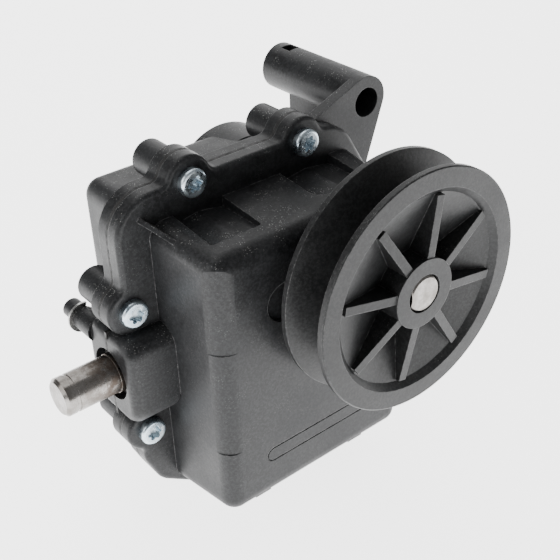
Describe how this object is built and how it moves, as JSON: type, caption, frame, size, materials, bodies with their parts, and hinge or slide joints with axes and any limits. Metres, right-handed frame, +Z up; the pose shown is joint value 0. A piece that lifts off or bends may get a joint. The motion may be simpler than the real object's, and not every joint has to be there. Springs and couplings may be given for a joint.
{
  "type": "worm gearbox",
  "caption": "Two-shell moulded worm gearbox with a front V-belt pulley, a cross output shaft, a torque-arm tube and a sliding dog clutch inside.",
  "frame": {"origin": "on the ground, under the centre of the bounding box, between the output shaft ends", "axes": "+X along the output shaft to the right, +Y backwards along the input shaft away from the pulley, +Z up"},
  "size_m": [0.176, 0.126, 0.1572],
  "materials": {
    "housing_plastic": "moulded, fine grain",
    "pulley_plastic": "moulded, satin",
    "gasket": "dull black bead",
    "zinc_screw": "blue zinc plate",
    "spring_steel": "phosphated spring steel",
    "ground_steel": "ground",
    "bearing_steel": "ground and hardened",
    "cage_brass": "stamped",
    "bush_bronze": "sintered",
    "wheel_bronze": "machined",
    "seal_rubber": "moulded"
  },
  "bodies": {
    "housing": {"front_housing": "housing_plastic", "rear_housing": "housing_plastic", "housing_gasket": "gasket", "housing_screws": "zinc_screw", "post_snap_ring": "spring_steel", "input_seal": "seal_rubber", "front_bearing_outer_race_ring": "bearing_steel", "rear_bearing_outer_race_ring": "bearing_steel", "left_output_bush": "bush_bronze", "left_output_seal": "seal_rubber", "right_output_bush": "bush_bronze", "right_output_seal": "seal_rubber"},
    "input": {"input_shaft": "ground_steel", "pulley": "pulley_plastic", "pulley_stop_ring": "spring_steel", "front_bearing_ring": "spring_steel", "rear_bearing_ring": "spring_steel", "front_bearing_inner_race_ring": "bearing_steel", "rear_bearing_inner_race_ring": "bearing_steel"},
    "output": {"output_shaft": "ground_steel", "sleeve_key": "ground_steel", "left_thrust_washer": "spring_steel", "right_thrust_washer": "spring_steel", "left_thrust_ring": "spring_steel", "right_thrust_ring": "spring_steel", "spring_ring": "spring_steel", "spring_washer": "spring_steel", "worm_wheel": "wheel_bronze", "wheel_left_ring": "spring_steel", "wheel_washer": "spring_steel", "wheel_right_ring": "spring_steel", "clutch_spring": "spring_steel"},
    "dog": {"dog_sleeve": "bearing_steel"},
    "front_cage": {"front_bearing_cage": "cage_brass", "front_bearing_balls": "bearing_steel"},
    "rear_cage": {"rear_bearing_cage": "cage_brass", "rear_bearing_balls": "bearing_steel"}
  },
  "joints": [
    {"name": "output_spin", "type": "hinge", "parent": "housing", "child": "output", "pos_m": [0, 0.0084, 0.077], "axis": [1, 0, 0], "continuous": true},
    {"name": "input_spin", "type": "hinge", "parent": "housing", "child": "input", "pos_m": [0.023, 0, 0.108], "axis": [0, 1, 0], "continuous": true},
    {"name": "front_cage_spin", "type": "hinge", "parent": "housing", "child": "front_cage", "pos_m": [0.023, -0.0215, 0.108], "axis": [0, 1, 0], "continuous": true},
    {"name": "rear_cage_spin", "type": "hinge", "parent": "housing", "child": "rear_cage", "pos_m": [0.023, 0.0455, 0.108], "axis": [0, 1, 0], "continuous": true},
    {"name": "dog_slide", "type": "slide", "parent": "output", "child": "dog", "axis": [-1, 0, 0], "range_m": [0, 0.004], "stiffness_N_per_m": 400, "springref_m": -0.002, "deforming": ["clutch_spring"]}
  ],
  "couplings": [
    {"joint": "input_spin", "follows": "output_spin", "ratio": 20},
    {"joint": "front_cage_spin", "follows": "output_spin", "ratio": 7.6429},
    {"joint": "rear_cage_spin", "follows": "output_spin", "ratio": 7.6429}
  ]
}
